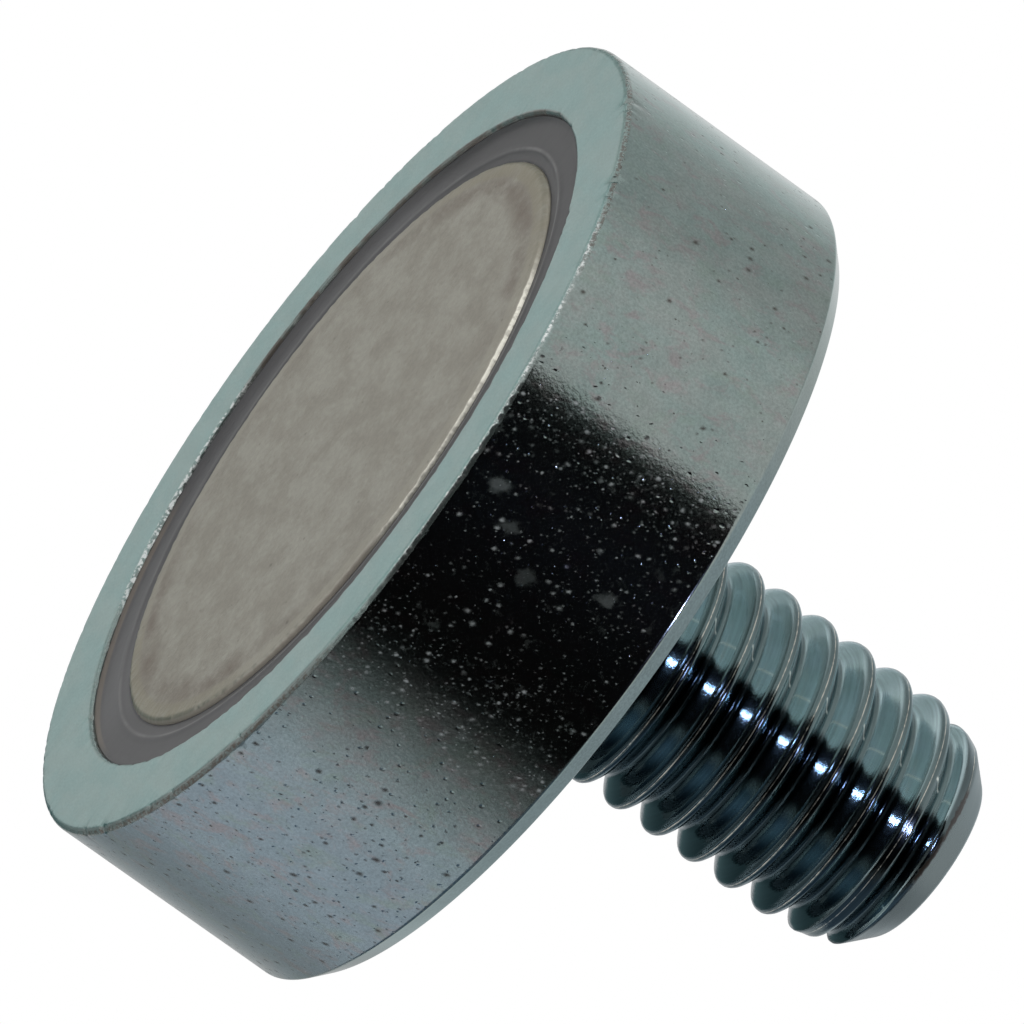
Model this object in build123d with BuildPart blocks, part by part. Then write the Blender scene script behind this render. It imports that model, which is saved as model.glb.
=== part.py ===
from build123d import *
from build123d.topology import SkipClean

import math
import os

# Pot magnet: a turned steel cup with a disc magnet potted in it and an M6 stud on its back.
# Millimetres. The origin is the centre of the cup's rim, whose plane, Z = 0, is the working
# face. +Z runs along the stud, out of the cup's back.

# --- Driving dimensions -----------------------------------------------------------------------

# Cup
CUP_DIAMETER = 20.0
CUP_HEIGHT = 6.0
WALL = 1.75  # thickness of the cup's side wall
WELL_DEPTH = 3.5  # from the rim to the floor that the magnet is seated on
RIM_OUTER_BREAK = 0.12  # chamfer on the rim's outer edge
RIM_INNER_BREAK = 0.08  # chamfer on the rim's inner edge
BACK_CHAMFER = 0.4

# Magnet
MAGNET_GAP = 1.1  # ring-shaped gap between the magnet and the cup's wall
MAGNET_RECESS = 0.08  # how far its face lies below the rim, which shields it from knocks
MAGNET_EDGE_RADIUS = 0.15  # tumbled edge under the nickel plating, a plain chamfer on its seat

# Potting resin in the gap
RESIN_RECESS = 0.17  # how far the resin lies below the rim
RESIN_SLOPE_WIDTH = 0.3  # band along the magnet where the resin has sunk as it set
RESIN_SLOPE_DEPTH = 0.05  # how much further down it meets the magnet

# Stud: M6 x 1, threaded right up to the cup's back
THREAD_DIAMETER = 6.0  # over its crests
THREAD_PITCH = 1.0
THREAD_DEPTH = 0.58  # from crest to root
CREST_FLAT = 0.125
FLANK_ANGLE = 30.0  # degrees, between each flank and a plane square to the stud
THREAD_TURN = 120.6  # degrees round the stud at which a crest is level with the cup's back
STUD_LENGTH = 10.0  # from the cup's back to the tip
TIP_DIAMETER = 4.0  # flat end, reached by a 45 degree chamfer
LEAD_IN_LENGTH = 1.1  # stretch next to the chamfer in which the crests haven't their full height
LEAD_IN_DEPTH = 0.35  # how much height they lack at the chamfer
SHANK_DIAMETER = 6.6  # short shank pressed into the cup's floor, a little over the thread
SHANK_LEAD_IN = 0.3  # chamfer that starts the shank in its hole

# Fit
PRESS_FIT = 0.0  # radial clearance of the shank in its hole: none, the faces touch

# How the thread is drawn: stretches per turn, and how far they overlap what they join or trim
STRETCHES = 8
OVERLAP = 0.05

# --- Sizes that follow ------------------------------------------------------------------------

cup_radius = CUP_DIAMETER / 2
well_radius = cup_radius - WALL
magnet_radius = well_radius - MAGNET_GAP
magnet_thickness = WELL_DEPTH - MAGNET_RECESS
thread_radius = THREAD_DIAMETER / 2
root_radius = thread_radius - THREAD_DEPTH
flank_slope = math.tan(math.radians(FLANK_ANGLE))
tip_radius = TIP_DIAMETER / 2
tip_z = CUP_HEIGHT + STUD_LENGTH
chamfer_radius = thread_radius - LEAD_IN_DEPTH
chamfer_z = tip_z - (chamfer_radius - tip_radius)
shank_radius = SHANK_DIAMETER / 2
shank_length = CUP_HEIGHT - WELL_DEPTH
hole_radius = shank_radius + PRESS_FIT

os.makedirs("parts", exist_ok=True)


# --- Cup: one turning, open at the rim and bored through its floor for the stud ----------------

with BuildPart() as pot:
    with BuildSketch(Plane.XZ):
        with BuildLine():
            Polyline(
                (hole_radius, WELL_DEPTH),
                (well_radius, WELL_DEPTH),
                (well_radius, 0),
                (cup_radius, 0),
                (cup_radius, CUP_HEIGHT),
                (hole_radius, CUP_HEIGHT),
                close=True,
            )
        make_face()
    revolve(axis=Axis.Z)

    circles = pot.edges().filter_by(GeomType.CIRCLE)
    rim = circles.group_by(Axis.Z)[0].sort_by(SortBy.RADIUS)
    back = circles.group_by(Axis.Z)[-1].sort_by(SortBy.RADIUS)
    chamfer(rim[0], RIM_INNER_BREAK)
    chamfer(rim[-1], RIM_OUTER_BREAK)
    chamfer(back[-1], BACK_CHAMFER)


# --- Magnet: a plated disc, seated on the floor of the well, its face just below the rim ------

with BuildPart() as magnet:
    with BuildSketch(Plane.XY.offset(MAGNET_RECESS)):
        Circle(magnet_radius)
    extrude(amount=magnet_thickness)
    seat_edge, face_edge = magnet.edges().filter_by(GeomType.CIRCLE).sort_by(Axis.Z)[::-1]
    fillet(face_edge, MAGNET_EDGE_RADIUS)
    chamfer(seat_edge, MAGNET_EDGE_RADIUS)


# --- Resin: fills the well around the magnet, up to a little below both of them ---------------

with BuildPart() as resin_ring:
    inside_magnet = magnet_radius - MAGNET_EDGE_RADIUS
    with BuildSketch(Plane.XZ):
        with BuildLine():
            Polyline(
                (well_radius, WELL_DEPTH),
                (well_radius, RESIN_RECESS),
                (magnet_radius + RESIN_SLOPE_WIDTH, RESIN_RECESS),
                (magnet_radius, RESIN_RECESS + RESIN_SLOPE_DEPTH),
                (inside_magnet, RESIN_RECESS + RESIN_SLOPE_DEPTH),
                (inside_magnet, WELL_DEPTH),
                close=True,
            )
        make_face()
    revolve(axis=Axis.Z)
    add(magnet.part, mode=Mode.SUBTRACT)


# --- Stud: a shank flush with both faces of the cup's floor, and the thread that follows it ----

# One stretch of the thread's ridge, swept a little too high and trimmed to the crest's cylinder
with BuildPart() as ridge:
    top, foot = thread_radius + OVERLAP, root_radius - OVERLAP
    top_half = CREST_FLAT / 2 - OVERLAP * flank_slope
    foot_half = CREST_FLAT / 2 + (thread_radius - foot) * flank_slope
    with BuildLine() as helix:
        Helix(THREAD_PITCH, THREAD_PITCH / STRETCHES, thread_radius)
    with BuildSketch(Plane.XZ):
        Polygon((top, -top_half), (top, top_half), (foot, foot_half), (foot, -foot_half), align=None)
    sweep(path=helix.wire(), is_frenet=True)
    with BuildSketch(Plane.XY.offset(-THREAD_PITCH)):
        Circle(thread_radius)
    extrude(amount=2 * THREAD_PITCH, mode=Mode.INTERSECT)

# The stretches follow one another up the helix, from under the cup's back to past the tip. They
# stay faces of their own, because a crest that winds round many times can't be measured as one.
half_turn = STRETCHES // 2
last = math.ceil(STUD_LENGTH / THREAD_PITCH * STRETCHES) + half_turn
steps = [
    Location(
        (0, 0, CUP_HEIGHT + THREAD_PITCH * n / STRETCHES), (0, 0, THREAD_TURN + 360 * n / STRETCHES)
    )
    for n in range(-half_turn, last)
]

with SkipClean():
    with BuildPart() as thread:
        with BuildSketch(Plane.XY.offset(CUP_HEIGHT - THREAD_PITCH)):
            Circle(root_radius)
        extrude(amount=STUD_LENGTH + 2 * THREAD_PITCH)
        with Locations(*steps):
            add(ridge.part)
        clear = thread_radius + LEAD_IN_DEPTH
        with BuildSketch(Plane.XZ):
            Polygon(
                (0, CUP_HEIGHT),
                (clear, CUP_HEIGHT),
                (clear, chamfer_z - 2 * LEAD_IN_LENGTH),
                (chamfer_radius, chamfer_z),
                (tip_radius, tip_z),
                (0, tip_z),
                align=None,
            )
        revolve(axis=Axis.Z, mode=Mode.INTERSECT)

    with BuildPart() as threaded_stud:
        with BuildSketch(Plane.XY.offset(WELL_DEPTH)):
            Circle(shank_radius)
        extrude(amount=shank_length)
        chamfer(threaded_stud.faces().sort_by(Axis.Z)[0].edges(), SHANK_LEAD_IN)
        add(thread.part)


pot.part.label = "pot"
magnet.part.label = "magnet"
resin_ring.part.label = "resin_ring"
threaded_stud.part.label = "threaded_stud"

export_step(pot.part, "parts/pot.step")
export_step(magnet.part, "parts/magnet.step")
export_step(resin_ring.part, "parts/resin_ring.step")
export_step(threaded_stud.part, "parts/threaded_stud.step")
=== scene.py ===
from types import SimpleNamespace
import math

import bmesh
import bpy
import numpy as np
from mathutils import Matrix, Vector


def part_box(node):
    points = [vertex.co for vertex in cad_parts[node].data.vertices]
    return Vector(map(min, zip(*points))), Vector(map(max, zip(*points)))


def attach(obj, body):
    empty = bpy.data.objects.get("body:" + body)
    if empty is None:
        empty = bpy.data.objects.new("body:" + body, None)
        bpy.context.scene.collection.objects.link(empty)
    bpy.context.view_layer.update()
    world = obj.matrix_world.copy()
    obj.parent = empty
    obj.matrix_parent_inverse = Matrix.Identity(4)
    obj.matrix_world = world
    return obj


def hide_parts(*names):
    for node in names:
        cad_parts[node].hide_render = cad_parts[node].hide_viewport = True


# Pot magnet with a threaded stud. Lengths below are millimetres, and MM takes them to metres.
# The cup's rim is in the plane z = 0, which is the floor, and the stud points up. Angles round
# the part start at +X. Colours are linear.

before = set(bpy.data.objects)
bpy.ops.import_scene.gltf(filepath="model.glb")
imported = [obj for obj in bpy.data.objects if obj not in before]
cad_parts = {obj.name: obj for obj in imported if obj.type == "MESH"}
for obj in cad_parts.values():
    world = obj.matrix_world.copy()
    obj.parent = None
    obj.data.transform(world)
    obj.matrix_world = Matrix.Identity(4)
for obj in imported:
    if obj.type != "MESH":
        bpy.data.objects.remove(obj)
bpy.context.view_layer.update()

MM = 0.001
TAU = 2 * math.pi


# --- Sizes from the frame ---------------------------------------------------------------------


def size_of(node):
    """The radius of a round CAD node, and its lowest and highest z, to a micrometre."""
    low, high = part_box(node)
    return round(high[0] / MM, 3), round(low[2] / MM, 3), round(high[2] / MM, 3)


CUP_R, _, CUP_H = size_of("pot")
MAGNET_R, MAGNET_Z, WELL_Z = size_of("magnet")
WELL_R, _, _ = size_of("resin_ring")
SHANK_R, _, TIP_Z = size_of("threaded_stud")


# --- Mesh helpers -----------------------------------------------------------------------------


def add_object(name, data):
    obj = bpy.data.objects.new(name, data)
    bpy.context.scene.collection.objects.link(obj)
    return obj


def smooth_outwards(mesh):
    """Shades a mesh smooth and turns its faces outwards."""
    bm = bmesh.new()
    bm.from_mesh(mesh)
    bmesh.ops.recalc_face_normals(bm, faces=bm.faces)
    bm.to_mesh(mesh)
    bm.free()
    mesh.polygons.foreach_set("use_smooth", [True] * len(mesh.polygons))
    mesh.update()


def rounded(corners, steps=6):
    """An outline through (r, z, corner radius) corners, each corner turned into an arc."""
    out = []
    n = len(corners)
    for i, (r, z, radius) in enumerate(corners):
        here = np.array((r, z))
        if radius == 0:
            out.append(here)
            continue
        before = np.array(corners[i - 1][:2]) - here
        after = np.array(corners[(i + 1) % n][:2]) - here
        before /= np.linalg.norm(before)
        after /= np.linalg.norm(after)
        half = math.acos(np.clip(before @ after, -1, 1)) / 2
        reach = radius / math.tan(half)
        middle = (before + after) / np.linalg.norm(before + after)
        centre = here + middle * radius / math.sin(half)
        a = here + before * reach - centre
        b = here + after * reach - centre
        turn = math.acos(np.clip(a @ b / radius**2, -1, 1))
        for t in np.linspace(0, 1, steps + 1):
            arm = (math.sin((1 - t) * turn) * a + math.sin(t * turn) * b) / math.sin(turn)
            out.append(centre + arm)
    return out


def filled_in(outline, step, closed, long_step=None):
    """The outline with points along its runs, and one close to each end of such a run.

    A run of over 2 mm has them long_step apart, where that is given."""
    out = []
    last = len(outline) if closed else len(outline) - 1
    for i in range(last):
        a, b = outline[i], outline[(i + 1) % len(outline)]
        length = np.linalg.norm(b - a)
        out.append(a)
        if length < step * 0.75:
            continue
        close = min(0.03, step / 4) / length
        wall_gap_shade = long_step if long_step and length > 2 else step
        inner = np.linspace(0, 1, int(math.ceil(length / wall_gap_shade)) + 1)[1:-1]
        for t in (close, *inner, 1 - close):
            out.append(a + (b - a) * t)
    if not closed:
        out.append(outline[-1])
    return np.array(out)


def lathe(name, outline, segments, shape, closed=True):
    """Turns an outline of (r, z) points about Z. shape(r, z, angle) moves the points.

    An outline that isn't closed starts and ends near the axis, and a fan fills each hole."""
    angle = np.linspace(0, TAU, segments, endpoint=False)[None, :]
    r = np.repeat(outline[:, :1], segments, axis=1)
    z = np.repeat(outline[:, 1:], segments, axis=1)
    r, z = shape(r, z, angle)
    points = np.stack((r * np.cos(angle), r * np.sin(angle), z), axis=-1)
    rows = len(outline)
    ids = np.arange(rows * segments).reshape(rows, segments)
    faces = []
    for i in range(rows if closed else rows - 1):
        a, b = ids[i], ids[(i + 1) % rows]
        quads = np.stack((a, np.roll(a, -1), np.roll(b, -1), b), axis=-1)
        faces += quads.tolist()
    points = points.reshape(-1, 3)
    if not closed:
        for ring in (ids[0], ids[-1]):
            centre = points[ring].mean(axis=0)
            points = np.vstack((points, centre))
            hub = len(points) - 1
            faces += [(hub, int(p), int(q)) for p, q in zip(ring, np.roll(ring, -1))]
    mesh = bpy.data.meshes.new(name)
    mesh.from_pydata((points * MM).tolist(), [], faces)
    smooth_outwards(mesh)
    return add_object(name, mesh)


def ramp(value, low, high):
    """0 up to low, 1 from high, and straight between."""
    return np.clip((value - low) / (high - low), 0, 1)


def bell(away, width):
    """1 at no distance, and almost 0 from two widths on."""
    return np.exp(-((away / width) ** 2))


def near(r, z, r0, z0, reach):
    """1 at (r0, z0), falling smoothly to 0 at a distance of reach."""
    away = np.hypot(r - r0, z - z0) / reach
    return np.clip(1 - away, 0, 1) ** 2 * (1 + 2 * np.clip(away, 0, 1))


def waves(angle, seed, low, high, fall=0.5):
    """A smooth random curve round the circle, about -1 to 1, from low to high waves a turn."""
    rng = np.random.RandomState(seed)
    out = np.zeros_like(angle)
    total = 0.0
    for k in range(low, high):
        size = rng.uniform(0.4, 1) / (k / low) ** fall
        out += size * np.cos(k * angle + rng.uniform(0, TAU))
        total += size**2 / 2
    peak = 2.2 * math.sqrt(total)
    return out / peak


def dents(angle, spots):
    """Summed dents round the circle, for spots of (angle in degrees, width in degrees, depth)."""
    out = np.zeros_like(angle)
    for at, width, depth in spots:
        away = (angle - math.radians(at) + math.pi) % TAU - math.pi
        out += depth * bell(away, math.radians(width))
    return out


# --- Cup --------------------------------------------------------------------------------------

BACK_CHAMFER = 0.42
OUTER_WORN, INNER_WORN = 0.30, 0.22  # how far from each edge of the rim its wear reaches
OUTER_RUB, INNER_RUB = 0.0015, 0.002  # depth of the even wear between the nicks
RIPPLE = 0.003  # depth of the side's ripple
RUST_SIDE = (302, 350)  # degrees between which the rim has deeper nicks
TOP_NICKS = [(200.5, 0.6, 0.07), (203.0, 0.4, 0.03), (218.6, 0.6, 0.08), (221.5, 0.4, 0.04)]

rng = np.random.RandomState(11)


def nicks(count, widths, depths, span=(0, 360)):
    """Random (angle, width, depth) spots for dents, in degrees and millimetres."""
    return list(zip(rng.uniform(*span, count), rng.uniform(*widths, count),
                    rng.uniform(*depths, count)))


outer_nicks = nicks(160, (0.2, 0.5), (0.002, 0.012))
outer_nicks += nicks(30, (0.25, 0.6), (0.006, 0.018), RUST_SIDE)
outer_nicks += TOP_NICKS
inner_nicks = nicks(140, (0.3, 0.9), (0.002, 0.014))


def cup_shape(r, z, angle):
    """Nicks and wear along both edges of the rim, and a slow ripple on the turned side."""
    outer = dents(angle, outer_nicks) + OUTER_RUB * (1 + waves(angle, 3, 40, 260, 0.2))
    inner = dents(angle, inner_nicks) + INNER_RUB * (1 + waves(angle, 5, 40, 240, 0.2))
    cut = near(r, z, CUP_R, 0, OUTER_WORN) * outer
    chip = near(r, z, WELL_R, 0, INNER_WORN) * inner
    side = ramp(r, CUP_R - 0.1, CUP_R) * ramp(z, 0, 0.5) * ramp(CUP_H - z, 0.4, 0.9)
    ripple = side * RIPPLE * (1 + waves(angle, 8, 3, 30, 0.8))
    return r - cut + chip - ripple, z + cut + chip


cup_corners = [  # r, z and the radius that rounds the corner
    (SHANK_R, WELL_Z, 0),
    (WELL_R, WELL_Z, 0),
    (WELL_R, 0.6, 0),
    (WELL_R, 0, 0.09),
    (CUP_R, 0, 0.14),
    (CUP_R, 0.6, 0),
    (CUP_R, CUP_H - 1.0, 0),
    (CUP_R, CUP_H - BACK_CHAMFER, 0.10),
    (CUP_R - BACK_CHAMFER, CUP_H, 0.10),
    (SHANK_R, CUP_H, 0.05),
]
cup_outline = filled_in(rounded(cup_corners), step=0.24, closed=True, long_step=1.2)
pot_body = lathe("pot_body", cup_outline, segments=1080, shape=cup_shape)


# --- Magnet -----------------------------------------------------------------------------------

AXIS_GAP = 0.05  # radius of the small hole that a fan of faces closes
CROWN = 0.02  # how much further in the face lies at its edge than at its middle
FACE_WAVE, FACE_INSET = 0.0025, 0.003  # the inset keeps the waves inside the CAD's face
EDGE_WEAR, EDGE_REACH = 0.008, 0.4


def magnet_shape(r, z, angle):
    """A slightly crowned, uneven face, with its edge worn round."""
    x, y = r * np.cos(angle), r * np.sin(angle)
    grain = FACE_WAVE * np.sin(2.1 * x + 1.3) * np.sin(1.7 * y + 0.4)
    crown = CROWN * (r / MAGNET_R) ** 4
    rim = near(r, z, MAGNET_R - 0.03, MAGNET_Z + 0.03, EDGE_REACH)
    wear = rim * EDGE_WEAR * (1 + waves(angle, 21, 24, 200, 0.3))
    face = 1 - ramp(z, 0.1, 0.4)
    return r - wear * 0.6, z + face * (crown + grain + FACE_INSET) + wear


magnet_corners = [
    (AXIS_GAP, MAGNET_Z, 0),
    (MAGNET_R, MAGNET_Z, 0.16),
    (MAGNET_R, WELL_Z, 0.12),
    (AXIS_GAP, WELL_Z, 0),
]
magnet_outline = filled_in(rounded(magnet_corners), step=0.2, closed=False)
magnet_disc = lathe(
    "magnet_disc", magnet_outline, segments=840, shape=magnet_shape, closed=False)


# --- Resin ------------------------------------------------------------------------------------

RIDGE_R, RIDGE_WANDER, RIDGE_WIDTH, RIDGE_HEIGHT = 7.48, 0.05, 0.045, 0.008
TOP_WAVE = 0.010
MENISCUS_WIDTH = 0.22  # along the cup's wall
MENISCUS_LIFT, FAR_LIFT = 0.015, 0.045  # how far it is drawn up, and how much more on +Y

resin_top = (
    (7.00, 0.30), (7.10, 0.235), (7.18, 0.222), (7.26, 0.213), (7.34, 0.203), (7.40, 0.188),
    (7.45, 0.174), (7.50, 0.170), (7.56, 0.174), (7.64, 0.180), (7.80, 0.182), (8.00, 0.180),
    (8.12, 0.174), (8.18, 0.166), (8.22, 0.158), (WELL_R, 0.150))
resin_corners = [
    np.array(p) for p in ((resin_top[0][0], WELL_Z), *resin_top, (WELL_R, WELL_Z))]


def resin_shape(r, z, angle):
    """An uneven top with a wandering ridge, drawn up along the wall, most on the far side."""
    top = 1 - ramp(z, 0.3, 0.5)
    ridge = bell(r - (RIDGE_R + RIDGE_WANDER * waves(angle, 31, 2, 12, 0.6)), RIDGE_WIDTH)
    slow = TOP_WAVE * waves(angle, 33, 2, 9, 0.7)
    wall = WELL_R - 0.01
    meniscus = ramp(r, wall - MENISCUS_WIDTH, wall) ** 2
    far = ramp(np.sin(angle), -0.15, 0.35)
    lift = FAR_LIFT * far + MENISCUS_LIFT * (1 + waves(angle, 35, 2, 16, 0.4))
    return r, z + top * (slow * (1 - meniscus) - RIDGE_HEIGHT * ridge - meniscus * lift)


resin_outline = filled_in(resin_corners, step=0.12, closed=True)
resin_fill = lathe("resin_fill", resin_outline, segments=900, shape=resin_shape)


# --- Stud -------------------------------------------------------------------------------------

# M6 x 1 with a rounded crest and root
NOMINAL_R, PITCH = 3.0, 1.0
CREST_R, CREST_ROUND = 2.94, 0.2
ROOT_R, ROOT_ROUND = 2.42, 0.144
FLANK_SLOPE = 1.732  # radius lost per length along the stud, for a flank at 60 degrees to it
CREST_Z = 0.165  # height of a crest at -X, less whole pitches

# The seam that rolling leaves on the crest, and fine lines beside the root: (place, height)
SEAM_WIDTH, SEAM_WANDER = 0.020, 0.010
SEAM_DEPTH, SEAM_VARIES = 0.010, 0.012
ROLLED_LINES = ((0.40, 0.004), (0.455, -0.003), (-0.40, 0.004), (-0.46, -0.003))
LINE_WIDTH = 0.016

# The tip's largest radius at a depth below its end, and the depths that need points of their own
ENVELOPE = ((0.0, 1.90), (0.02, 1.97), (0.06, 2.03), (0.64, 2.585), (0.70, 2.62),
            (0.90, 2.70), (1.34, 2.79), (1.85, 2.95))
TIP_DEPTHS = (0.90, 0.80, 0.72, 0.67, 0.64, 0.58, 0.40, 0.20, 0.08, 0.05, 0.02)

SHANK_EDGE, SHANK_LEAD_IN = 0.04, 0.3


def thread_radius(p):
    """Radius at an axial distance p from the crest."""
    p = np.abs(p)
    from_root = PITCH / 2 - p
    crest = CREST_R - CREST_ROUND + np.sqrt(np.clip(CREST_ROUND**2 - p**2, 0, None))
    root = ROOT_R + ROOT_ROUND - np.sqrt(np.clip(ROOT_ROUND**2 - from_root**2, 0, None))
    crest_ends = CREST_ROUND * FLANK_SLOPE / 2
    root_starts = ROOT_ROUND * FLANK_SLOPE / 2
    flank = CREST_R - CREST_ROUND / 2 - FLANK_SLOPE * (p - crest_ends)
    return np.where(p < crest_ends, crest, np.where(from_root > root_starts, flank, root))


def crest_z(angle):
    return CREST_Z + PITCH * (angle - math.pi) / TAU


def wound_cylinder():
    """A cylinder whose rows wind with the thread, cut off square at both ends."""
    around = 168
    from_crest = (0.02, 0.04, 0.065, 0.10, 0.14, 0.18, 0.24, 0.30, 0.36, 0.39, 0.42, 0.46)
    places = np.array((-0.5, *(-p for p in reversed(from_crest)), 0.0, *from_crest))
    turns = np.arange(int(CUP_H) - 1, int(TIP_Z) + 2)
    rows = (turns[:, None] + places[None, :]).ravel()
    angle = np.linspace(0, TAU, around, endpoint=False)
    z = rows[:, None] + crest_z(angle)[None, :]
    x, y = NOMINAL_R * np.cos(angle), NOMINAL_R * np.sin(angle)
    points = np.stack((x + 0 * z, y + 0 * z, z), axis=-1)
    ids = np.arange(len(rows) * around).reshape(len(rows), around)
    faces = []
    for k in range(around - 1):
        faces += np.stack(
            (ids[:-1, k], ids[:-1, k + 1], ids[1:, k + 1], ids[1:, k]), axis=-1).tolist()
    per = len(places)
    a, b = ids[:-per, -1], ids[per:, 0]  # the last column joins the first one turn further up
    faces += np.stack((a[:-1], b[:-1], b[1:], a[1:]), axis=-1).tolist()

    bm = bmesh.new()
    verts = [bm.verts.new(p) for p in points.reshape(-1, 3).tolist()]
    for f in faces:
        bm.faces.new([verts[i] for i in f])
    bm.normal_update()

    def cut(at, above=False, below=False):
        bmesh.ops.bisect_plane(
            bm, geom=bm.verts[:] + bm.edges[:] + bm.faces[:], dist=1e-6,
            plane_co=(0, 0, at), plane_no=(0, 0, 1), clear_outer=above, clear_inner=below)

    cut(TIP_Z, above=True)
    cut(CUP_H, below=True)
    for depth in TIP_DEPTHS:
        cut(TIP_Z - depth)
    return bm


def shape_thread(bm):
    """Moves the cylinder's points in or out, to the thread with its seam and the tip."""
    co = np.array([v.co for v in bm.verts])
    angle = np.arctan2(co[:, 1], co[:, 0]) % TAU
    up = co[:, 2] - crest_z(angle)
    p = (up + 0.5) % 1 - 0.5
    wind = (angle + TAU * np.round(up)) / 9  # runs on along the thread, a circle in nine turns
    radius = thread_radius(p)
    wander = SEAM_WANDER * waves(wind, 41, 30, 400, 0.3)
    depth = SEAM_DEPTH + SEAM_VARIES * waves(wind, 43, 60, 900, 0.1)
    radius = radius - depth.clip(0, None) * bell(p - wander, SEAM_WIDTH)
    for at, height in ROLLED_LINES:
        radius = radius + height * bell(p - at, LINE_WIDTH)
    radius = np.minimum(radius, np.interp(TIP_Z - co[:, 2], *zip(*ENVELOPE)))
    co[:, 0] = radius * np.cos(angle)
    co[:, 1] = radius * np.sin(angle)
    for v, c in zip(bm.verts, co):
        v.co = c


def open_edges(bm, inside):
    return [e for e in bm.edges if e.is_boundary and all(inside(v) for v in e.verts)]


def add_shank(bm, foot):
    """A plain shank from the cup's back to the floor of the well, joined to the thread's foot."""
    around = 240
    profile = ((SHANK_R - SHANK_EDGE, CUP_H), (SHANK_R, CUP_H - SHANK_EDGE),
               (SHANK_R, CUP_H - 1.0), (SHANK_R, WELL_Z + SHANK_LEAD_IN),
               (SHANK_R - SHANK_LEAD_IN, WELL_Z))
    turn = [TAU * k / around for k in range(around)]
    rings = [[bm.verts.new((r * math.cos(t), r * math.sin(t), z)) for t in turn]
             for r, z in profile]
    for lower, upper in zip(rings[1:], rings):
        for k in range(around):
            n = (k + 1) % around
            bm.faces.new((lower[k], lower[n], upper[n], upper[k]))
    bm.faces.new(rings[-1][::-1])
    top = set(rings[0])
    bmesh.ops.triangle_fill(
        bm, edges=foot + open_edges(bm, lambda v: v in top), use_beauty=True)


def make_stud():
    bm = wound_cylinder()
    shape_thread(bm)
    tip = open_edges(bm, lambda v: v.co.z > TIP_Z - 1e-4)
    foot = open_edges(bm, lambda v: v.co.z < CUP_H + 1e-4)
    bmesh.ops.triangle_fill(bm, edges=tip, use_beauty=True)
    add_shank(bm, foot)
    bmesh.ops.triangulate(bm, faces=[f for f in bm.faces if len(f.verts) > 4])
    bmesh.ops.scale(bm, vec=(MM, MM, MM), verts=bm.verts)
    mesh = bpy.data.meshes.new("stud_thread")
    bm.to_mesh(mesh)
    bm.free()
    smooth_outwards(mesh)
    return add_object("stud_thread", mesh)


stud_thread = make_stud()


# --- Materials --------------------------------------------------------------------------------

LEAN = 0.22  # how far a long spot leans, across for each millimetre along Z
SKIN_HEIGHT = 0.8  # share of Z on an unrolled skin, so a round spot comes out longer along Z


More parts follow.
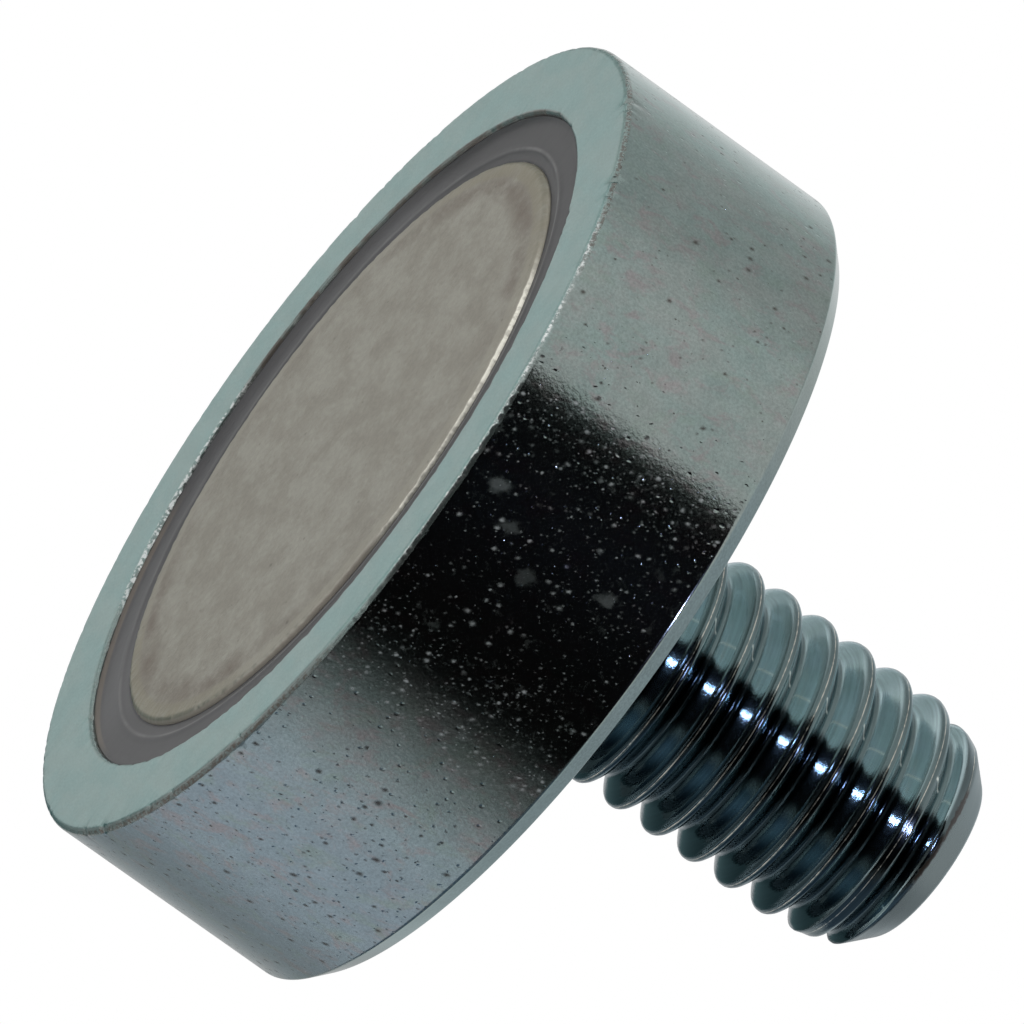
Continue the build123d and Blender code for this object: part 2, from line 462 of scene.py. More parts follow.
class Shader:
    """A material whose node graph is written as plain calls that return sockets.

    x, y and z are the place on the part in millimetres, and r is the distance from the axis."""

    def __init__(self, name):
        self.material = bpy.data.materials.new(name)
        self.material.use_nodes = True
        self.tree = self.material.node_tree
        self.tree.nodes.clear()
        coords = self.node("ShaderNodeTexCoord").outputs["Object"]
        self.mm = self.vector("SCALE", coords, scale=1 / MM)
        self.x, self.y, self.z = self.node("ShaderNodeSeparateXYZ", {"Vector": self.mm}).outputs
        self.r = self.vector("LENGTH", self.combine(self.x, self.y, 0.0))

    def node(self, kind, values=None, **settings):
        node = self.tree.nodes.new(kind)
        for key, value in settings.items():
            setattr(node, key, value)
        for key, value in (values or {}).items():
            self.put(node.inputs[key], value)
        return node

    def put(self, socket, value):
        if isinstance(value, bpy.types.NodeSocket):
            self.tree.links.new(value, socket)
        else:
            socket.default_value = value

    # Arithmetic

    def combine(self, x, y, z):
        return self.node("ShaderNodeCombineXYZ", {"X": x, "Y": y, "Z": z}).outputs[0]

    def vector(self, operation, a, b=None, scale=None):
        node = self.node("ShaderNodeVectorMath", operation=operation)
        self.put(node.inputs[0], a)
        if b is not None:
            self.put(node.inputs[1], b)
        if scale is not None:
            self.put(node.inputs["Scale"], scale)
        return node.outputs["Value" if operation == "LENGTH" else "Vector"]

    def math(self, operation, a, b=None, c=None, clamp=False):
        node = self.node("ShaderNodeMath", operation=operation, use_clamp=clamp)
        for socket, value in zip(node.inputs, (a, b, c)):
            if value is not None:
                self.put(socket, value)
        return node.outputs[0]

    def folded(self, operation, terms):
        out = terms[0]
        for term in terms[1:]:
            out = self.math(operation, out, term)
        return out

    def add(self, *terms):
        return self.folded("ADD", terms)

    def times(self, *terms):
        return self.folded("MULTIPLY", terms)

    def most(self, *terms):
        return self.folded("MAXIMUM", terms)

    def invert(self, a):
        return self.math("SUBTRACT", 1.0, a)

    def absolute(self, a):
        return self.math("ABSOLUTE", a)

    # Shares from 0 to 1

    def step(self, value, low, high, to_low=0.0, to_high=1.0):
        """Smoothly from to_low, where value is low, to to_high, where it is high."""
        node = self.node("ShaderNodeMapRange", interpolation_type="SMOOTHSTEP")
        for key, v in (("Value", value), ("From Min", low), ("From Max", high),
                       ("To Min", to_low), ("To Max", to_high)):
            self.put(node.inputs[key], v)
        return node.outputs[0]

    def fall(self, value, low, high):
        """1 where value is low, 0 where it is high."""
        return self.step(value, low, high, 1.0, 0.0)

    def window(self, value, start, full, fade, end):
        """0 up to start, 1 from full to fade, 0 from end."""
        return self.times(self.step(value, start, full), self.fall(value, fade, end))

    def band(self, value, centre, width):
        """1 at the centre, 0 at a distance of width from it on both sides."""
        return self.fall(self.absolute(self.math("SUBTRACT", value, centre)), 0.0, width)

    # Coordinates

    def stretched(self, x=1.0, y=1.0, z=1.0):
        return self.vector("MULTIPLY", self.mm, (x, y, z))

    def tilted(self):
        """Coordinates in which a round spot comes out longer along Z, and leaning a little."""
        lean = self.math("MULTIPLY_ADD", self.z, LEAN, self.x)
        return self.combine(lean, self.y, self.times(self.z, 0.6))

    def unrolled(self, radius):
        """The skin of a cylinder laid out flat, its seam on the far side, and leaning a little."""
        turn = self.math("ARCTAN2", self.x, self.times(self.y, -1.0))
        along = self.math("MULTIPLY_ADD", self.z, LEAN, self.times(turn, radius))
        return self.combine(along, self.times(self.z, SKIN_HEIGHT), 0.0)

    def warped(self, at, size, amount):
        """The coordinates pushed about by noise, which makes round spots irregular."""
        node = self.node("ShaderNodeTexNoise", {"Vector": at, "Scale": 1 / size, "Detail": 2.0})
        push = self.vector("SUBTRACT", node.outputs["Color"], (0.5, 0.5, 0.5))
        return self.vector("ADD", at, self.vector("SCALE", push, scale=amount))

    # Textures

    def noise(self, size, detail=2.0, roughness=0.5, at=None, distortion=0.0):
        """Noise from 0 to 1 with features of about size millimetres."""
        node = self.node("ShaderNodeTexNoise", {
            "Vector": self.mm if at is None else at, "Scale": 1 / size, "Detail": detail,
            "Roughness": roughness, "Distortion": distortion})
        return node.outputs["Fac"]

    def spots(self, size, radius, at, share, layout="2D"):
        """Soft round spots, 1 at their centre. size is the cell, radius is the largest spot's
        as a share of it, and share is how many of the cells have a spot."""
        node = self.node("ShaderNodeTexVoronoi", {
            "Vector": at, "Scale": 1 / size, "Randomness": 1.0}, voronoi_dimensions=layout)
        pick = self.node("ShaderNodeSeparateColor", {"Color": node.outputs["Color"]})
        own = self.math("MULTIPLY", pick.outputs[1], radius)
        spot = self.fall(self.math("DIVIDE", node.outputs["Distance"], own), 0.0, 1.0)
        return self.times(spot, self.math("LESS_THAN", pick.outputs[0], share))

    # Colours

    def mix(self, factor, a, b):
        node = self.node("ShaderNodeMix", data_type="RGBA")
        self.put(node.inputs[0], factor)
        self.put(node.inputs[6], a if isinstance(a, bpy.types.NodeSocket) else (*a, 1.0))
        self.put(node.inputs[7], b if isinstance(b, bpy.types.NodeSocket) else (*b, 1.0))
        return node.outputs[2]

    def scaled(self, colour, factor):
        return self.vector("SCALE", colour, scale=factor)

    def finish(self, colour, rough, height, values):
        """The material. height is in millimetres, and values are the shader's other sockets."""
        bump = self.node("ShaderNodeBump", {"Height": height, "Distance": MM, "Strength": 1.0})
        bsdf = self.node("ShaderNodeBsdfPrincipled", {
            "Base Color": colour, "Roughness": rough, "Normal": bump.outputs[0], **values})
        out = self.node("ShaderNodeOutputMaterial")
        self.tree.links.new(bsdf.outputs[0], out.inputs[0])
        return self.material


# Cup: blue-passivated zinc, from green-grey to violet-grey

CUP_GREEN, CUP_GREY = (0.205, 0.262, 0.250), (0.232, 0.268, 0.256)
CUP_BLUE = (0.190, 0.244, 0.292)
MOTTLE_VIOLET, MOTTLE_GREEN = (0.240, 0.204, 0.210), (0.190, 0.250, 0.218)
FACE_GREEN, FACE_GREY = (0.214, 0.312, 0.300), (0.244, 0.320, 0.304)
# Painted light and shade for the back chamfer
CHAMFER_PAINTED_LIT, CHAMFER_PAINTED_SHADE = (0.19, 0.215, 0.205), (0.135, 0.180, 0.190)
BACK_PALE = (0.29, 0.35, 0.35)
SPECK_BROWN = (0.052, 0.043, 0.036)
EDGE_GREY, EDGE_BROWN = (0.205, 0.235, 0.225), (0.120, 0.096, 0.080)
# Painted highlight: the colour of the glints along the rim's edges
RIM_PAINTED_GLINT = (0.78, 0.81, 0.80)
DUST_GREY = (0.60, 0.62, 0.66)

# Pale smudges in the dark stretch of the side: millimetres round it, from -Y towards +X, and
# along Z, then reach and strength
SMUDGES = ((-1.23, 0.9, 0.26, 0.20), (-0.65, 1.55, 0.20, 0.13),
           (0.03, 2.42, 0.24, 0.10), (-0.55, 4.1, 0.22, 0.16))


def cup_zones(s):
    """What part of the cup a point is on, as shares from 0 to 1."""
    front = s.fall(s.y, -2.0, 1.0)
    return SimpleNamespace(
        front=front,
        back=s.invert(front),
        face=s.fall(s.z, 0.02, 0.06),
        side=s.times(s.step(s.r, CUP_R - 0.10, CUP_R - 0.05),
                     s.window(s.z, 0.10, 0.16, CUP_H - 0.48, CUP_H - 0.40)),
        bevel=s.times(s.step(s.z, CUP_H - 0.42, CUP_H - 0.34),
                      s.step(s.r, CUP_R - 0.5, CUP_R - 0.4)),
        outer_edge=s.times(s.step(s.r, CUP_R - 0.13, CUP_R - 0.09), s.fall(s.z, 0.11, 0.15)),
        inner_edge=s.times(s.fall(s.r, WELL_R + 0.08, WELL_R + 0.12), s.fall(s.z, 0.12, 0.2)),
        skin=s.warped(s.unrolled(CUP_R), 0.08, 0.06),
        grain=s.noise(0.065, 3, 0.7),
        cloud=s.noise(0.6, 3, 0.55))


def cup_plate(s, on):
    """The plate's colour, with painted shade towards +X and painted light and shade on the back
    chamfer.
    """
    drift = s.noise(1.3, 3, 0.6, s.stretched(z=0.7))
    colour = s.mix(s.step(drift, 0.35, 0.65), CUP_GREEN, CUP_GREY)
    colour = s.mix(s.times(on.side, s.step(s.x, 3.0, 7.5), 0.8), colour, CUP_BLUE)
    violet = s.step(s.noise(0.45, 4, 0.65, s.tilted(), 0.5), 0.48, 0.68)
    green = s.step(s.noise(0.60, 4, 0.65, s.tilted(), 0.5), 0.50, 0.70)
    colour = s.mix(s.times(violet, on.side, 0.60), colour, MOTTLE_VIOLET)
    colour = s.mix(s.times(green, on.side, 0.45), colour, MOTTLE_GREEN)
    # Painted shade: darker towards +X, down to 0.84 of the colour
    colour = s.scaled(colour, s.step(s.x, 7.2, 9.8, 1.0, 0.84))
    blotch = s.step(s.noise(0.7, 4, 0.65, s.stretched(y=0.35)), 0.35, 0.65)
    colour = s.mix(on.face, colour, s.mix(blotch, FACE_GREEN, FACE_GREY))
    # Painted light and shade on the back chamfer: paler towards -X, darker from x = -3 on
    chamfer = s.mix(s.step(s.x, -7, -3), CHAMFER_PAINTED_LIT, CHAMFER_PAINTED_SHADE)
    colour = s.mix(on.bevel, colour, chamfer)
    under = s.times(s.step(s.z, CUP_H - 0.10, CUP_H - 0.04), s.invert(on.bevel))
    colour = s.mix(under, colour, BACK_PALE)
    colour = s.scaled(colour, s.step(on.grain, 0.28, 0.72, 0.86, 1.12))
    return s.scaled(colour, s.step(on.cloud, 0.3, 0.7, 0.95, 1.04))


def cup_specks(s, on):
    """Soft brown specks on the side, thick towards +X, thin towards -X and scarce between."""
    dense = s.add(s.step(s.x, 3.9, 6.2), s.times(s.fall(s.x, -3.6, -3.0), 0.40), 0.02)
    dense = s.times(dense, s.step(s.noise(1.4), 0.3, 0.6, 0.35, 1.0), on.side)
    specks = s.spots(0.36, 0.30, on.skin, s.times(dense, 0.55))
    small = s.spots(0.21, 0.27, on.skin, s.times(dense, 0.50))
    smudge = s.step(s.noise(0.20, 4, 0.65, on.skin), 0.60, 0.80)
    return s.most(s.times(specks, 0.85), s.times(small, 0.60), s.times(smudge, dense, 0.45))


def cup_edge_dirt(s, on):
    """Dirt and rust that cling to the edges: how much, and its colour."""
    ragged = s.step(s.noise(0.10, 3, 0.6), 0.42, 0.58)
    low_front = s.times(s.step(s.x, 2.8, 4.5), on.front)
    back_edge = s.times(s.band(s.z, CUP_H - 0.40, 0.09), on.side)
    rust = s.times(low_front, s.most(on.outer_edge, back_edge))
    top_line = s.times(on.outer_edge, s.step(s.x, -5.4, -6.4),
                       s.step(s.r, CUP_R - 0.08, CUP_R - 0.05), 0.8)
    lip = s.times(on.inner_edge, on.back, s.step(on.cloud, 0.35, 0.6, 0.5, 1.0),
                  s.step(s.x, -0.5, 1.0, 1.0, 0.35))
    amount = s.most(s.times(s.most(rust, top_line), ragged), lip,
                    s.times(on.outer_edge, low_front, 0.9))
    brown = s.most(s.times(ragged, s.step(s.r, CUP_R - 0.075, CUP_R - 0.045)), lip)
    return amount, s.mix(brown, EDGE_GREY, EDGE_BROWN)


def cup_painted_glints(s, on):
    """Painted highlights: bright glints along the rim's outer edge towards -Y and its inner edge
    towards +Y.
    """
    beads = s.step(s.noise(0.085, 2, 0.6), 0.45, 0.57)
    outer = s.times(on.outer_edge, on.front, s.window(s.x, -7.4, -6.2, 0.3, 2.2),
                    s.band(s.r, CUP_R - 0.045, 0.045), s.step(s.noise(0.7), 0.3, 0.6, 0.4, 1.0))
    inner = s.times(on.inner_edge, on.back, s.window(s.x, -0.5, 0.8, 5.0, 6.0))
    return s.most(s.times(outer, s.add(0.16, s.times(beads, 0.84))),
                  s.times(inner, beads, 0.7))


def cup_dust(s, on):
    """Pale dust on the stretch of the side that reflects the dark, thickest at its ends."""
    stretch = s.times(s.window(s.x, -4.0, -3.3, 3.4, 4.8), on.front, on.side)
    ends = s.add(s.step(s.x, -2.9, -1.6, 1.2, 0.42), s.step(s.x, 1.4, 2.6, 0.0, 0.5))
    glow = s.step(s.noise(0.3), 0.3, 0.7, 0.10, 0.58)
    dots = s.times(s.spots(0.21, 0.40, on.skin, s.times(ends, 0.75)), glow)
    motes = s.times(s.spots(0.11, 0.42, on.skin, s.times(ends, 0.8)), glow, 0.6)
    patches = s.step(s.noise(0.30, 4, 0.65, distortion=0.8), 0.58, 0.70)
    dust = s.most(dots, motes, s.times(patches, ends, 0.12))
    torn = s.warped(on.skin, 0.22, 0.34)
    for around, z, reach, strength in SMUDGES:
        centre = (around + LEAN * z, SKIN_HEIGHT * z, 0.0)
        away = s.vector("LENGTH", s.vector("SUBTRACT", torn, centre))
        dust = s.most(dust, s.step(away, 0.4 * reach, reach, strength, 0.0))
    return s.times(dust, s.add(stretch, 0.06), s.most(on.side, 0.1))


def cup_material():
    s = Shader("zinc_plate_cup")
    on = cup_zones(s)
    specks = cup_specks(s, on)
    dirt, dirt_colour = cup_edge_dirt(s, on)
    dust = cup_dust(s, on)
    colour = s.mix(specks, cup_plate(s, on), SPECK_BROWN)
    colour = s.mix(s.times(dirt, 0.9), colour, dirt_colour)
    # Painted highlights: glints along the rim's edges
    colour = s.mix(cup_painted_glints(s, on), colour, RIM_PAINTED_GLINT)
    colour = s.mix(dust, colour, DUST_GREY)

    # Fine orange peel, dimples and pits, mostly on the side
    dimples = s.spots(0.24, 0.26, on.skin, 0.4)
    height = s.add(s.times(s.noise(0.10, 3, 0.6), 0.0030), s.times(dimples, -0.005),
                   s.times(specks, -0.003))
    height = s.times(height, s.add(s.times(on.side, 0.9), 0.1))
    rough = s.add(0.10, s.times(on.face, 0.20), s.times(on.grain, 0.05), s.times(specks, 0.3))
    bare = s.invert(s.most(s.times(dust, 0.95), s.times(dirt, 0.8)))
    return s.finish(colour, rough, height, {
        "Metallic": bare, "Specular Tint": (0.80, 0.86, 0.86, 1.0)})


# Magnet: satin nickel, mottled and a little yellow

NICKEL, NICKEL_PALE = (0.285, 0.272, 0.240), (0.345, 0.337, 0.302)
RING_BROWN = (0.140, 0.106, 0.092)
EDGE_PALE, EDGE_YELLOW = (0.345, 0.330, 0.285), (0.270, 0.250, 0.190)
PIT_BROWN = (0.050, 0.042, 0.036)
# The first is a painted glint for the brink on -Y
BRINK_PAINTED_GLINT, BRINK_DULL = (0.92, 0.90, 0.80), (0.30, 0.27, 0.23)
BRINK_SHADE = (0.030, 0.034, 0.050)


def magnet_material():
    s = Shader("nickel_plate_magnet")
    along = s.stretched(0.55, 0.32, 1)
    cloud = s.noise(0.45, 4, 0.65, along)
    fine = s.noise(0.07, 4, 0.75, along)
    from_middle = s.absolute(s.x)
    colour = s.mix(s.step(cloud, 0.35, 0.65), NICKEL, NICKEL_PALE)
    colour = s.scaled(colour, s.step(fine, 0.3, 0.7, 0.88, 1.09))

    # A smeared brown ring, strongest at both ends, and yellower metal outside it
    smeared = s.step(s.noise(0.35, 4, 0.7, along), 0.25, 0.72)
    ring_at = s.add(MAGNET_R - 0.85, s.times(cloud, 0.25))
    ring = s.times(s.band(s.r, ring_at, 0.60), smeared, s.step(from_middle, 2.5, 5.5, 0.25, 1.0))
    colour = s.mix(s.times(ring, 0.70), colour, RING_BROWN)
    edge = s.times(s.step(s.r, MAGNET_R - 0.53, MAGNET_R - 0.40),
                   s.step(s.noise(0.5), 0.3, 0.6, 0.5, 1.0))
    yellow = s.mix(s.step(from_middle, 4.5, 6.5), EDGE_PALE, EDGE_YELLOW)
    colour = s.mix(s.times(edge, 0.60), colour, yellow)
    pits = s.spots(0.40, 0.18, along, 0.16, "3D")
    tiny = s.spots(0.14, 0.24, along, 0.25, "3D")
    colour = s.mix(s.add(s.times(pits, 0.75), s.times(tiny, 0.35)), colour, PIT_BROWN)

    # The brink: a painted glint on -Y, dull non-metal towards +X, and painted shade on +Y
    brink = s.step(s.r, MAGNET_R - 0.08, MAGNET_R - 0.05)
    brink_glint = s.times(brink, s.fall(s.y, -3.5, -1.0), s.window(s.x, -6.0, -4.5, 0.3, 2.0),
                     s.step(s.noise(0.14), 0.35, 0.6, 0.5, 1.0))
    # Painted highlight along the brink on -Y
    colour = s.mix(s.times(brink_glint, 0.95), colour, BRINK_PAINTED_GLINT)
    dull = s.times(brink, s.step(s.x, 0.3, 2.0), s.fall(s.y, 1.0, 3.0))
    colour = s.mix(s.times(dull, 0.9), colour, BRINK_DULL)
    # Painted shade along the brink on +Y
    shade = s.times(s.step(s.r, MAGNET_R - 0.09, MAGNET_R - 0.05), s.step(s.y, 0.5, 2.0))
    colour = s.mix(s.times(shade, 0.85), colour, BRINK_SHADE)
    height = s.add(s.times(s.noise(0.13, 4, 0.6), 0.010), s.times(s.noise(0.9), 0.02))
    return s.finish(colour, s.add(0.38, s.times(fine, 0.15)), height, {
        "Metallic": s.invert(s.times(dull, 0.8)), "Specular Tint": (0.75, 0.74, 0.70, 1.0)})


# Resin: dark grey epoxy

RESIN_DARK, RESIN_GREY = (0.082, 0.082, 0.085), (0.106, 0.106, 0.108)
RIDGE_GREY, GROOVE_PAINTED_SHADE = (0.20, 0.20, 0.20), (0.030, 0.030, 0.034)
GAP_PAINTED_SHADE, FILM_BROWN = (0.020, 0.018, 0.018), (0.26, 0.22, 0.18)


def resin_material():
    s = Shader("epoxy_resin")
    cloud = s.noise(1.2, 3)
    colour = s.mix(cloud, RESIN_DARK, RESIN_GREY)
    # Painted light: 0.84 of the colour, lighter on +Y from x = -4.5 on, and lighter again towards
    # +X
    lift = s.add(0.84, s.times(s.step(s.y, 0.0, 3.0), s.step(s.x, -6.5, -4.5), 0.42),
                 s.times(s.step(s.x, 4.0, 7.0), 0.20))
    colour = s.scaled(colour, lift)
    ridge = s.times(s.band(s.r, RIDGE_R - 0.02, 0.07), s.step(cloud, 0.4, 0.6, 0.4, 0.9))
    colour = s.mix(ridge, colour, RIDGE_GREY)
    # Painted shade in the groove where the resin meets the magnet
    groove = s.step(s.r, MAGNET_R + 0.07, MAGNET_R + 0.01)
    colour = s.mix(s.times(groove, 0.7), colour, GROOVE_PAINTED_SHADE)

    # Along the wall: painted shade in the gap on -Y, and a film of brown residue towards +X
    wall = s.step(s.r, WELL_R - 0.15, WELL_R - 0.09)
    wall_gap_shade = s.times(wall, s.step(s.y, -1.0, -2.5), s.step(s.noise(0.8), 0.4, 0.55))
    colour = s.mix(s.times(wall_gap_shade, 0.8), colour, GAP_PAINTED_SHADE)
    film = s.times(wall, s.step(s.x, 2.5, 4.0), s.step(s.y, 0.0, 2.0))
    colour = s.mix(s.times(film, 0.6), colour, FILM_BROWN)
    return s.finish(colour, s.add(0.42, s.times(cloud, 0.1)), s.times(s.noise(0.4, 3), 0.006), {
        "Specular IOR Level": 0.15})


# Stud: bright zinc flanks, with duller crests and roots, and a plain tip. High is towards -X
# and low towards +X, as the photograph shows them.

FLANK_GREEN, FLANK_BLUE = (0.318, 0.420, 0.428), (0.345, 0.442, 0.465)
# Painted shade on the flanks towards +X
FLANK_PAINTED_SHADE = (0.024, 0.038, 0.047)
# Painted light and shade for the dull crests and roots: lit, darkest and low
DULL_PAINTED_LIT, DULL_PAINTED_DARK = (0.104, 0.144, 0.147), (0.036, 0.052, 0.058)
DULL_PAINTED_LOW = (0.052, 0.078, 0.088)
# Painted shade in the thread's roots
ROOT_PAINTED_SHADE = (0.040, 0.060, 0.070)
LAND_GREY = (0.085, 0.110, 0.115)
SEAM_PALE, SEAM_PIT = (0.52, 0.50, 0.44), (0.030, 0.022, 0.018)
GROOVE_PALE, TICK_PAINTED_GLINT = (0.40, 0.42, 0.40), (0.62, 0.66, 0.62)
TIP_DARK, TIP_GREY = (0.120, 0.145, 0.148), (0.150, 0.178, 0.180)
TIP_FLAT = (0.26, 0.33, 0.33)
STAIN_BROWN = (0.020, 0.014, 0.011)

THREAD_ENDS = TIP_Z - 0.7
FLAT_END_R = 1.82
TICK_AT = -33.0  # degrees from -Y towards +X: where the painted highlight crosses each flank


def stud_material():
    s = Shader("zinc_plate_stud")
    turn = s.math("DIVIDE", s.math("ARCTAN2", s.y, s.x), TAU)
    wound = s.math("FRACT", s.add(s.z, s.times(turn, -1.0), 1.0 - CREST_Z))
    across = s.math("SUBTRACT", wound, 0.5)  # 0 on the crest, -0.5 and 0.5 in the root
    away = s.absolute(across)
    on_thread = s.fall(s.z, THREAD_ENDS - 0.05, THREAD_ENDS + 0.05)
    tip = s.invert(on_thread)
    fine = s.noise(0.09, 4, 0.7)

    # Flanks with painted shade towards +X, dull crests and roots with painted light and shade,
    # painted shade in the roots, and the wide crest that ends the thread
    colour = s.mix(s.step(s.noise(0.8, 3, 0.6), 0.35, 0.65), FLANK_GREEN, FLANK_BLUE)
    # Painted shade: the flanks darken towards +X
    colour = s.mix(s.times(s.step(s.x, 1.4, 2.2), 0.92), colour, FLANK_PAINTED_SHADE)
    dull = s.most(s.fall(away, 0.08, 0.17), s.step(away, 0.38, 0.45))
    past_top = s.step(s.x, -1.0, -0.6)
    # Painted light and shade: crests and roots lit towards -X, darkest in the middle and shaded
    # towards +X
    dull_painted_light = s.mix(past_top, DULL_PAINTED_LIT, DULL_PAINTED_DARK)
    dull_painted_light = s.mix(s.step(s.x, 0.7, 1.5), dull_painted_light, DULL_PAINTED_LOW)
    colour = s.mix(dull, colour, dull_painted_light)
    # Painted shade in the roots, from x = -0.6 towards +X
    colour = s.mix(s.times(s.step(away, 0.33, 0.41), past_top), colour, ROOT_PAINTED_SHADE)
    land = s.times(s.step(s.z, TIP_Z - 1.8, TIP_Z - 1.4), s.fall(away, 0.20, 0.28), on_thread)
    colour = s.mix(land, colour, LAND_GREY)
    along = s.combine(s.times(across, 30.0), s.times(s.z, 0.5), s.times(turn, 6.0))
    rolled = s.noise(1.0, 3, 0.6, along)
    colour = s.scaled(colour, s.step(rolled, 0.3, 0.7, 0.86, 1.12))

    # The seam that thread rolling leaves on the crest, a fine line beside the root, and a painted
    # highlight that ticks across each flank
    seam = s.times(s.band(across, 0.0, 0.020), on_thread)
    faint = s.step(s.noise(0.16, 2, 0.6), 0.35, 0.60, 0.35, 1.0)
    colour = s.mix(s.times(seam, faint), colour, SEAM_PALE)
    groove = s.times(s.band(across, 0.34, 0.014), on_thread, s.step(s.noise(0.3), 0.4, 0.6))
    colour = s.mix(s.times(groove, 0.7), colour, GROOVE_PALE)
    degrees = s.times(s.math("ARCTAN2", s.x, s.times(s.y, -1.0)), math.degrees(1))
    # Painted highlight: a pale, less metallic tick across each flank at one angle
    painted_tick = s.times(s.band(degrees, TICK_AT, 1.4), s.window(across, 0.10, 0.15, 0.40, 0.48),
                   on_thread, 0.9)
    colour = s.mix(painted_tick, colour, TICK_PAINTED_GLINT)
    pitted = s.times(s.step(s.noise(0.055, 2, 0.6), 0.54, 0.62), s.band(s.x, 0.2, 1.3))
    colour = s.mix(s.times(seam, pitted), colour, SEAM_PIT)

    # The tip, stained brown where the thread runs out
    plain = s.mix(fine, TIP_DARK, TIP_GREY)
    # Painted shade: the tip darkens towards +X, down to 0.42 of its colour
    plain = s.scaled(plain, s.step(s.x, 0.0, 1.6, 1.0, 0.42))
    plain = s.mix(s.step(s.r, FLAT_END_R + 0.04, FLAT_END_R - 0.04), plain, TIP_FLAT)
    colour = s.mix(tip, colour, plain)
    ragged = s.add(THREAD_ENDS - 0.1, s.times(s.noise(0.18, 3, 0.7), 0.20))
    stain = s.times(s.band(s.z, ragged, 0.08), s.window(s.x, -1.9, -1.4, 0.3, 0.6),
                    s.fall(s.y, -1.5, -0.5))
    stain = s.math("MULTIPLY", stain, 2.2, clamp=True)
    colour = s.mix(s.times(stain, 0.95), colour, STAIN_BROWN)

    height = s.add(s.times(s.noise(0.06, 3, 0.6), 0.0012), s.times(rolled, on_thread, 0.0030))
    rough = s.add(0.07, s.times(s.step(fine, 0.3, 0.8), 0.04), s.times(dull, 0.03),
                  s.times(s.step(s.x, -0.9, -1.8), 0.10), s.times(tip, 0.16))
    # Painted shade: less metal across the flanks towards -X, up to 0.35
    shady = s.times(s.window(across, 0.12, 0.20, 0.36, 0.42),
                    s.step(s.x, -1.3, -0.7, 0.35, 0.0), on_thread)
    # Less metal at the seam and the stain, and for the painted highlight ticks and painted shade
    stains_and_painted_light = s.most(painted_tick, s.times(stain, 0.8), shady, s.times(seam, faint, 0.5))
    return s.finish(colour, rough, height, {
        "Metallic": s.invert(stains_and_painted_light), "Specular Tint": (0.80, 0.87, 0.90, 1.0)})


PIECES = (
    (pot_body, "pot", "cup_zinc_plate", cup_material),
    (magnet_disc, "magnet", "magnet_nickel_plate", magnet_material),
    (resin_fill, "resin_ring", "potting_resin", resin_material),
    (stud_thread, "threaded_stud", "stud_zinc_plate", stud_material),
)
for piece, node, slot, material in PIECES:
    piece.data.materials.append(material())
    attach(piece, "root")
    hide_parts(node)


# --- Studio: directions in degrees from the part, distances in metres --------------------------

FLOOR_REACH, FLOOR_DROP = 4.0, 0.02 * MM  # the drop keeps it clear of the rim
FLOOR_GREY = (0.84, 0.84, 0.84)
FILL_LIGHT = 0.55  # strength of the world as light that falls on the part

# Soft cards that only reflections see. They give the metal the bands that the photograph shows.
# Name, azimuths, elevations, soft edges, distance, brightness, opacity. The soft edges are
# towards lower azimuth, higher azimuth, lower elevation and higher elevation.
BLACK, GREY = (0.006, 0.005, 0.005), (0.1, 0.1, 0.1)
CARDS = (
    # The dark band down the cup's side and the stud
    ("dark_card", (-43, 76), (-8, 88), (2, 46, 8, 10), 0.30, BLACK, 1.0),
    ("under_card", (-43, 52), (-80, 2), (8, 40, 10, 10), 0.30, BLACK, 0.9),
    # The lower half of the thread, on its flanks, its crests and its outline
    ("blue_card", (35, 142), (18, 80), (20, 20, 4, 8), 0.31, (0.150, 0.210, 0.280), 1.0),
    ("crest_card", (28, 128), (-55, 8), (30, 30, 20, 6), 0.32, (0.07, 0.11, 0.12), 0.7),
    ("low_card", (105, 174), (-45, 9), (35, 6, 15, 6), 0.31, (0.135, 0.210, 0.215), 1.0),
    # The upper part of the cup's side, the thread's upper outline, and the cup's lower end
    ("left_card", (-150, -78), (-12, 60), (25, 25, 12, 20), 0.32, GREY, 0.28),
    ("lobe_card", (-174, -135), (-45, 4), (6, 20, 20, 10), 0.31, (0.06, 0.14, 0.12), 0.5),
    ("right_card", (110, 200), (-12, 40), (35, 30, 12, 15), 0.33, GREY, 0.5),
)

# Name, azimuth, elevation, distance, size, power, colour, and whether only reflections see it
LAMPS = (
    ("key", -60, 50, 0.9, (0.5, 0.5), 3.6, (1.0, 0.99, 0.97), False),
    ("fill", 120, 35, 0.9, (0.6, 0.6), 2.2, (0.96, 0.98, 1.0), False),
    ("spark", -16, 44, 0.28, (0.006, 0.120), 0.30, (0.60, 0.62, 1.0), True),
)


def aim(azimuth, elevation):
    """A unit vector from the part: azimuth 0 is -Y and 90 is +X, elevation is above the floor."""
    a, e = math.radians(azimuth), math.radians(elevation)
    return Vector((math.sin(a) * math.cos(e), -math.cos(a) * math.cos(e), math.sin(e)))


def grid_faces(rows, columns):
    """Quads over points that are numbered row by row."""
    return [(i * columns + k, i * columns + k + 1, (i + 1) * columns + k + 1, (i + 1) * columns + k)
            for i in range(rows - 1) for k in range(columns - 1)]


def partly_clear(mesh, kind, colour, cover):
    """A material of one plain shader, and clear where the socket that cover(tree) gives is 0."""
    material = bpy.data.materials.new(mesh.name)
    material.use_nodes = True
    tree = material.node_tree
    tree.nodes.clear()
    clear = tree.nodes.new("ShaderNodeBsdfTransparent")
    plain = tree.nodes.new(kind)
    plain.inputs["Color"].default_value = (*colour, 1)
    mix = tree.nodes.new("ShaderNodeMixShader")
    out = tree.nodes.new("ShaderNodeOutputMaterial")
    tree.links.new(cover(tree), mix.inputs[0])
    tree.links.new(clear.outputs[0], mix.inputs[1])
    tree.links.new(plain.outputs[0], mix.inputs[2])
    tree.links.new(mix.outputs[0], out.inputs[0])
    mesh.materials.append(material)


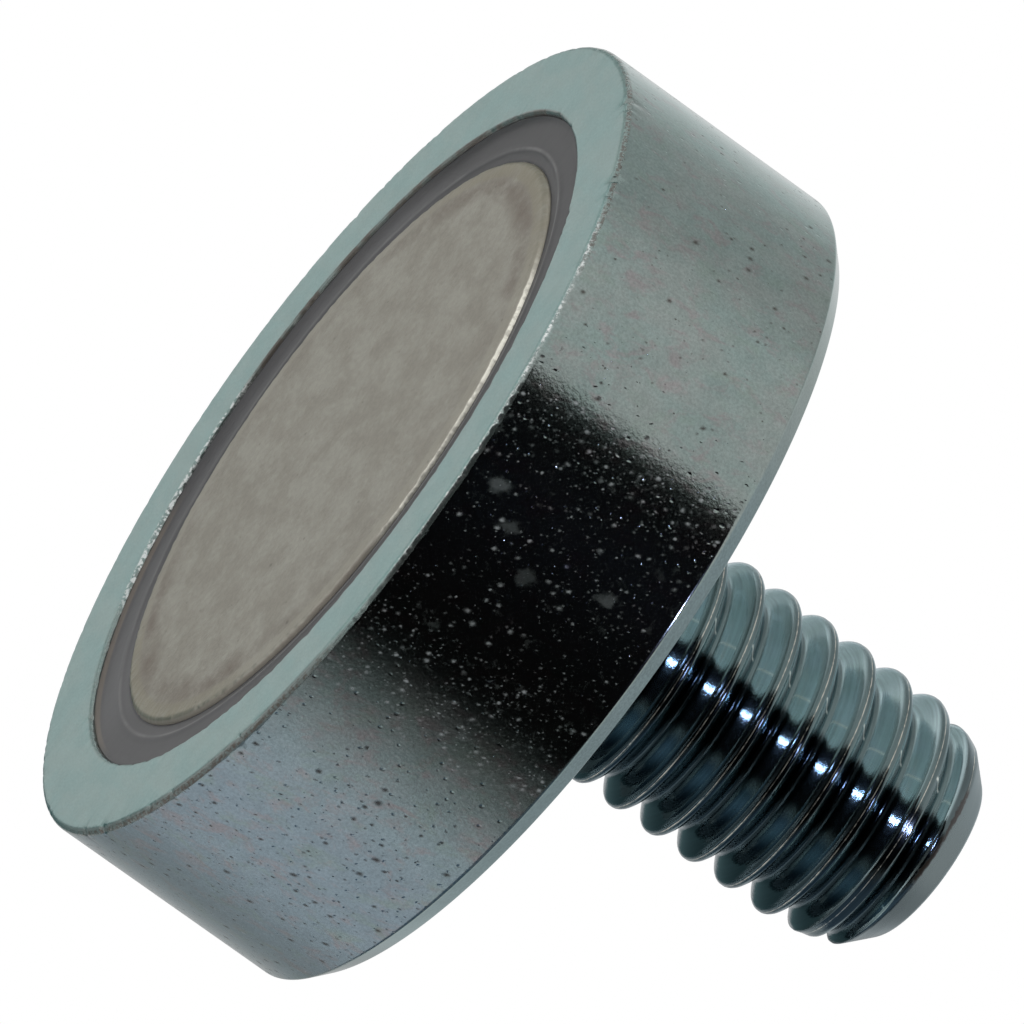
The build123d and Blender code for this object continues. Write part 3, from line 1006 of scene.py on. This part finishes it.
def seen_from_above(tree):
    """1 for camera rays that meet the front of a face."""
    path = tree.nodes.new("ShaderNodeLightPath")
    geometry = tree.nodes.new("ShaderNodeNewGeometry")
    front = tree.nodes.new("ShaderNodeMath")
    front.operation = "SUBTRACT"
    front.use_clamp = True
    tree.links.new(path.outputs["Is Camera Ray"], front.inputs[0])
    tree.links.new(geometry.outputs["Backfacing"], front.inputs[1])
    return front.outputs[0]


def own_cover(tree):
    share = tree.nodes.new("ShaderNodeAttribute")
    share.attribute_name = "cover"
    return share.outputs["Fac"]


def make_floor():
    """A pale floor that only a camera above it sees, so that light reaches the face below."""
    mesh = bpy.data.meshes.new("floor")
    d = FLOOR_REACH
    corners = [(x, y, -FLOOR_DROP) for y in (-d, d) for x in (-d, d)]
    mesh.from_pydata(corners, [], grid_faces(2, 2))
    partly_clear(mesh, "ShaderNodeBsdfDiffuse", FLOOR_GREY, seen_from_above)
    add_object("floor", mesh)


def soft_edges(place, span, fades):
    """1 inside a span of degrees, falling smoothly to 0 over the fade at each end of it."""
    share = 1.0
    for edge, fade in zip((place - span[0], span[1] - place), fades):
        t = min(1.0, edge / fade)
        share *= t * t * (3 - 2 * t)
    return share


def make_card(name, azimuths, elevations, fades, distance, brightness, opacity):
    columns = np.linspace(*azimuths, 49)
    rows = np.linspace(*elevations, 25)
    mesh = bpy.data.meshes.new(name)
    mesh.from_pydata([tuple(aim(a, e) * distance) for e in rows for a in columns], [],
                     grid_faces(len(rows), len(columns)))
    cover = mesh.attributes.new("cover", "FLOAT", "POINT")
    cover.data.foreach_set("value", [
        opacity * soft_edges(a, azimuths, fades[:2]) * soft_edges(e, elevations, fades[2:])
        for e in rows for a in columns])
    partly_clear(mesh, "ShaderNodeEmission", brightness, own_cover)
    card = add_object(name, mesh)
    card.visible_camera = False
    card.visible_diffuse = False
    card.visible_shadow = False
    card.visible_transmission = False


def make_lamp(name, azimuth, elevation, distance, size, power, colour, only_glossy):
    data = bpy.data.lights.new(name, "AREA")
    data.shape = "ELLIPSE"
    data.size, data.size_y = size
    data.energy = power
    data.color = colour
    lamp = add_object(name, data)
    towards = aim(azimuth, elevation)
    lamp.location = towards * distance
    lamp.rotation_mode = "QUATERNION"
    lamp.rotation_quaternion = (-towards).to_track_quat("-Z", "Y")
    lamp.visible_camera = False
    lamp.visible_glossy = only_glossy
    lamp.visible_diffuse = not only_glossy


def make_world():
    """White to the camera and to reflections, softer as the light that falls on the part."""
    world = bpy.data.worlds.new("studio")
    bpy.context.scene.world = world
    world.use_nodes = True
    tree = world.node_tree
    tree.nodes.clear()
    path = tree.nodes.new("ShaderNodeLightPath")
    seen = path.outputs["Is Camera Ray"]
    for kind in ("Is Glossy Ray", "Is Transmission Ray"):
        more = tree.nodes.new("ShaderNodeMath")
        more.operation = "MAXIMUM"
        tree.links.new(seen, more.inputs[0])
        tree.links.new(path.outputs[kind], more.inputs[1])
        seen = more.outputs[0]
    strength = tree.nodes.new("ShaderNodeMapRange")
    strength.inputs["To Min"].default_value = FILL_LIGHT
    strength.inputs["To Max"].default_value = 1.0
    tree.links.new(seen, strength.inputs["Value"])
    background = tree.nodes.new("ShaderNodeBackground")
    background.inputs["Color"].default_value = (1, 1, 1, 1)
    tree.links.new(strength.outputs[0], background.inputs["Strength"])
    out = tree.nodes.new("ShaderNodeOutputWorld")
    tree.links.new(background.outputs[0], out.inputs[0])


make_world()
make_floor()
for card in CARDS:
    make_card(*card)
for lamp in LAMPS:
    make_lamp(*lamp)


# --- Camera: the photograph's view, from a little below the rim's plane ------------------------

TILT = 15.55  # degrees that it looks up
ROLL = 125.5  # degrees that it is turned about its line of sight
RIM_RIGHT, RIM_UP = -3.7923 * MM, 1.5785 * MM  # the rim's centre, from the picture's centre
DISTANCE = 430 * MM
LENS, SENSOR = 719.2, 36


def make_camera():
    tilt, roll = math.radians(TILT), math.radians(ROLL)
    forward = Vector((0, math.cos(tilt), math.sin(tilt)))
    level_x, level_y = Vector((1, 0, 0)), Vector((0, -forward.z, forward.y))
    right = math.cos(roll) * level_x + math.sin(roll) * level_y
    up = -math.sin(roll) * level_x + math.cos(roll) * level_y
    data = bpy.data.cameras.new("camera")
    data.sensor_width = SENSOR
    data.lens = LENS
    data.clip_start = 0.01
    data.clip_end = 100
    camera = add_object("camera", data)
    place = -(RIM_RIGHT * right + RIM_UP * up + DISTANCE * forward)
    turn = Matrix((right, up, -forward)).transposed().to_4x4()
    camera.matrix_world = Matrix.Translation(place) @ turn
    bpy.context.scene.camera = camera


make_camera()
bpy.context.scene.view_settings.view_transform = "Standard"
